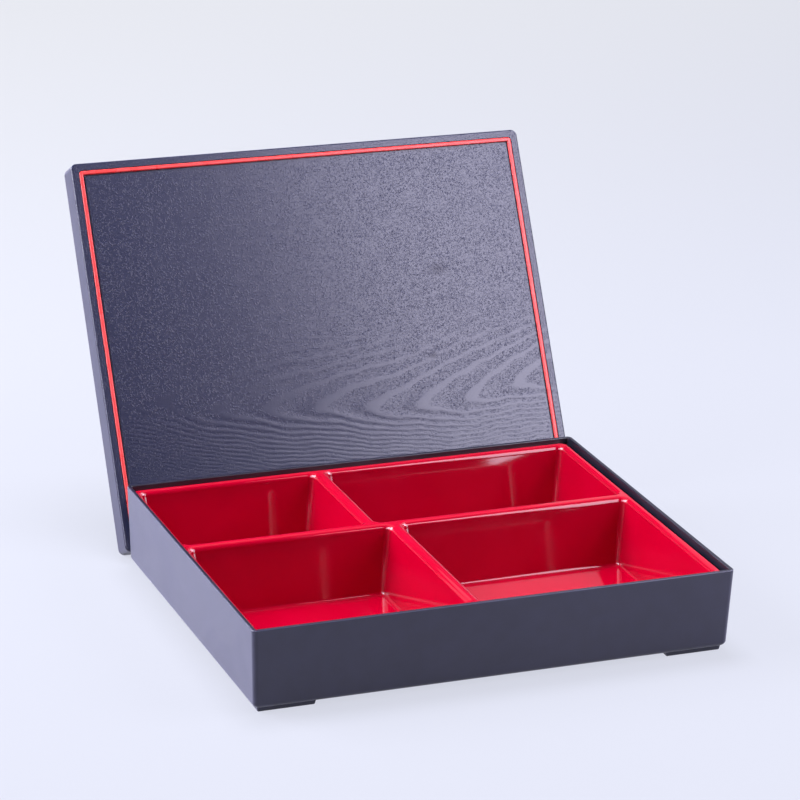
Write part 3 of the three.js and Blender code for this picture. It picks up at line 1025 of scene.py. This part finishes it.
lid_height = lid_face - lid_back
lid_plan = (-lid_width / 2, lid_width / 2, -lid_length / 2, lid_length / 2)
groove_inner = LINE_INSET + LINE_WIDTH + LINE_SHADOW_GAP
lid_middle = RIGHT * (lid_left + lid_right) / 2 + lid_up * (lid_bottom + lid_top) / 2 + lid_out * lid_face
lid_place = Matrix((RIGHT, lid_up, lid_out)).transposed().to_4x4()
lid_place.translation = lid_middle
print("lid leans", round(math.degrees(math.asin(lid_up.y)), 1), "degrees back")

# %% Lid shell


def lid_rings():
    """The lid's rings, from the ceiling inside the skirt to the inner edge of the groove."""
    ceiling = -(LID_PANEL_SINK + LID_TOP)
    rim = LID_RIM_ROUND - lid_height
    inside = arc(LID_WALL + LID_INSIDE_FILLET, ceiling - LID_INSIDE_FILLET, LID_INSIDE_FILLET, 90, 180)
    inside += arc(LID_WALL - LID_RIM_ROUND, rim, LID_RIM_ROUND, 360, 270)
    outside = arc(LID_RIM_ROUND, rim, LID_RIM_ROUND, 270, 180)
    outside += arc(LID_EDGE_ROUND, -LID_EDGE_ROUND, LID_EDGE_ROUND, 180, 90)
    outer_wall = [(LINE_INSET - LINE_SEAT_GAP, 0.0), (LINE_INSET - LINE_SEAT_GAP, -GROOVE_DEPTH)]
    inner_wall = [(groove_inner, -GROOVE_DEPTH), (groove_inner, -LID_PANEL_SINK)]
    stretches = [
        (inside, LID_INSIDE_CORNER),
        (outside, LID_CORNER),
        (outer_wall, LINE_CORNER + LINE_SEAT_GAP),
        (inner_wall, LINE_INSIDE_CORNER),
    ]
    return [
        rounded_ring(lid_plan, inset, height, radius)
        for profile, radius in stretches
        for inset, height in profile
    ]


print("rings in the lid's shell:", len(lid_rings()))

# %% Grained panel
RIDGE_HEIGHT = 0.10 * MM
PANEL_STEP_ALONG = 1.6 * MM
PANEL_STEP_ACROSS = 0.5 * MM
PANEL_MARGIN = 1.2 * MM
RIDGE_FADE = 4.0 * MM


def ridge(x, y, reach_x, reach_y):
    """Height of the grain at a point of the panel, none at its edge."""
    edge = min(reach_x - abs(x), reach_y - abs(y))
    fade = min(1.0, edge / RIDGE_FADE)
    wave = 0.5 + 0.5 * math.cos(2 * math.pi * growth_rings(x / MM, y / MM))
    return RIDGE_HEIGHT * fade * wave * ring_strength(x / MM, y / MM)


def lid_panel(build):
    """The grained panel as a fine grid, and the ring of vertices round it."""
    reach_x = lid_width / 2 - groove_inner - PANEL_MARGIN
    reach_y = lid_length / 2 - groove_inner - PANEL_MARGIN
    columns = round(2 * reach_x / PANEL_STEP_ALONG)
    rows = round(2 * reach_y / PANEL_STEP_ACROSS)
    grid = []
    for row in range(rows + 1):
        y = reach_y * (2 * row / rows - 1)
        xs = [reach_x * (2 * column / columns - 1) for column in range(columns + 1)]
        level = [ridge(x, y, reach_x, reach_y) - LID_PANEL_SINK for x in xs]
        grid.append([build.verts.new((x, y, z)) for x, z in zip(xs, level)])
    for low, high in zip(grid, grid[1:]):
        for k in range(columns):
            build.faces.new((low[k], low[k + 1], high[k + 1], high[k]))
    right_side = [row[-1] for row in grid[1:-1]]
    left_side = [row[0] for row in grid[1:-1]]
    return grid[0] + right_side + grid[-1][::-1] + left_side[::-1]


def lid_build():
    """The whole lid lying flat, face up."""
    build = bmesh.new()
    rows = loft(build, lid_rings())
    build.faces.new(rows[0])
    close_flat(build, rows[-1], [lid_panel(build)])
    return build


lid_moulding = finish_piece(
    "lid_moulding", lid_build(), embossed_black, "leaning_lid", "lid", lid_place
)

# %% Satin on the skirt and the inside
FACE_UP = 0.5

lid_moulding.data.materials.append(skirt_black)
for face in lid_moulding.data.polygons:
    face.material_index = int(face.normal.z < FACE_UP)
print("satin faces:", sum(face.material_index for face in lid_moulding.data.polygons))

# %% [markdown]
# ## Red line
#
# A thin red line runs round the lid in its groove. It could be painted on, but it stands a hair above the
# face, with rounded edges that catch the light, and the open side of the groove shows as a dark line beside
# it. So it is a strip of its own, lofted as an endless ring.

# %% Line red
LINE_SKIN_DEPTH = 0.003 * MM
LINE_REDS = (0.58, 0.028, 0.027), (0.62, 0.034, 0.031)
LINE_ROUGHNESS = 0.26, 0.34

line_red, tree, shader = start_material("line_red")
skin = place_group(tree, etched_skin, Pits_per_Metre=1800.0)
haze = place_group(tree, wiped_haze, Wipes_per_Metre=60.0)
base = blend_colours(tree, skin.outputs["Mottle"], *LINE_REDS)
tree.links.new(base, shader.inputs["Base Color"])
roughness = stretch(tree, haze.outputs["Haze"], 0.0, 1.0, *LINE_ROUGHNESS)
tree.links.new(roughness, shader.inputs["Roughness"])
bump = add_node(tree, "ShaderNodeBump", {"Height": skin.outputs["Height"], "Distance": LINE_SKIN_DEPTH})
tree.links.new(bump.outputs["Normal"], shader.inputs["Normal"])
print("material", line_red.name)

# %% Red line


def line_build():
    """The strip in its groove, lying flat like the lid."""
    outer, inner = LINE_INSET, LINE_INSET + LINE_WIDTH
    seat = LINE_SEAT_GAP - GROOVE_DEPTH
    shoulder = LINE_PROUD - LINE_ROUND
    outer_side = [(outer, seat)] + arc(outer + LINE_ROUND, shoulder, LINE_ROUND, 180, 90)
    inner_side = arc(inner - LINE_ROUND, shoulder, LINE_ROUND, 90, 0) + [(inner, seat)]
    rings = [rounded_ring(lid_plan, inset, height, LINE_CORNER) for inset, height in outer_side]
    rings += [rounded_ring(lid_plan, inset, height, LINE_INSIDE_CORNER) for inset, height in inner_side]
    build = bmesh.new()
    loft(build, rings, endless=True)
    return build


finish_piece("line_strip", line_build(), line_red, "leaning_lid", "lid_red_line", lid_place)

# %% [markdown]
# ## Colours
#
# Standard colours keep every colour as it was set.

# %% Colours
bpy.context.scene.view_settings.view_transform = "Standard"
